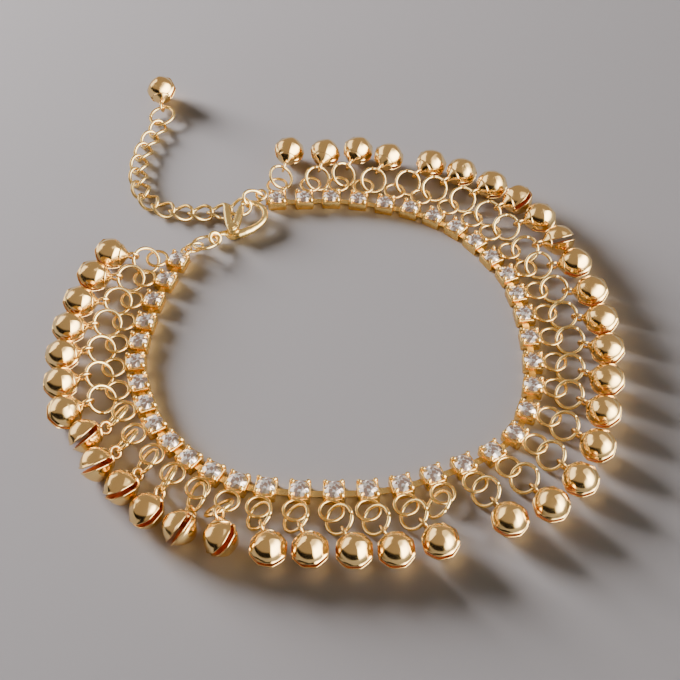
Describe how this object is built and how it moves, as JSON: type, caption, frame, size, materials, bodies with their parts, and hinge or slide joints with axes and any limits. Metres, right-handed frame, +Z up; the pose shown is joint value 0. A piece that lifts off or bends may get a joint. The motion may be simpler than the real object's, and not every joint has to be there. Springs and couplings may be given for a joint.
{
  "type": "anklet",
  "caption": "Ankle chain of square cups with clear stones, a small jingle bell hung from each on a jump ring, closed by a lobster clasp on a curb extender chain.",
  "frame": {"origin": "middle of the outline on the surface that the anklet lies on", "axes": "+Z up from the surface, +Y from the front of the ankle loop towards the clasp and the extender chain, +X to the right in the picture"},
  "size_m": [0.0963, 0.1124, 0.0055],
  "materials": {
    "bell_gold": "polished pale gold plating",
    "cup_gold": "polished gold plating, darker in the recesses",
    "ring_gold": "polished gold-plated wire",
    "clasp_gold": "polished gold-plated casting",
    "clear_stone": "clear cut stone with a bright foil back"
  },
  "bodies": {
    "anklet": {"bell_01": "bell_gold", "bell_02": "bell_gold", "bell_03": "bell_gold", "bell_04": "bell_gold", "bell_05": "bell_gold", "bell_06": "bell_gold", "bell_07": "bell_gold", "bell_08": "bell_gold", "bell_09": "bell_gold", "bell_10": "bell_gold", "bell_11": "bell_gold", "bell_12": "bell_gold", "bell_13": "bell_gold", "bell_14": "bell_gold", "bell_15": "bell_gold", "bell_16": "bell_gold", "bell_17": "bell_gold", "bell_18": "bell_gold", "bell_19": "bell_gold", "bell_20": "bell_gold", "bell_21": "bell_gold", "bell_22": "bell_gold", "bell_23": "bell_gold", "bell_24": "bell_gold", "bell_25": "bell_gold", "bell_26": "bell_gold", "bell_27": "bell_gold", "bell_28": "bell_gold", "bell_29": "bell_gold", "bell_30": "bell_gold", "bell_31": "bell_gold", "bell_32": "bell_gold", "bell_33": "bell_gold", "bell_34": "bell_gold", "bell_35": "bell_gold", "bell_36": "bell_gold", "bell_37": "bell_gold", "bell_38": "bell_gold", "extender_bell": "bell_gold", "cup_settings": "cup_gold", "chain_bars": "cup_gold", "stones": "clear_stone", "jump_rings": "ring_gold", "end_connectors": "cup_gold", "clasp_rings": "ring_gold", "clasp_body": "clasp_gold", "clasp_pin": "clasp_gold", "extender_chain": "ring_gold", "extender_ring": "ring_gold"},
    "lever": {"clasp_lever": "clasp_gold"}
  },
  "joints": [
    {"name": "clasp_lever_hinge", "type": "hinge", "parent": "anklet", "child": "lever", "pos_m": [-0.01892, 0.01419, 0.00143], "axis": [0.041, 0.0586, -0.9974], "range_deg": [0, 20], "stiffness_Nm_per_rad": 0.0002, "springref_deg": -11.46}
  ]
}
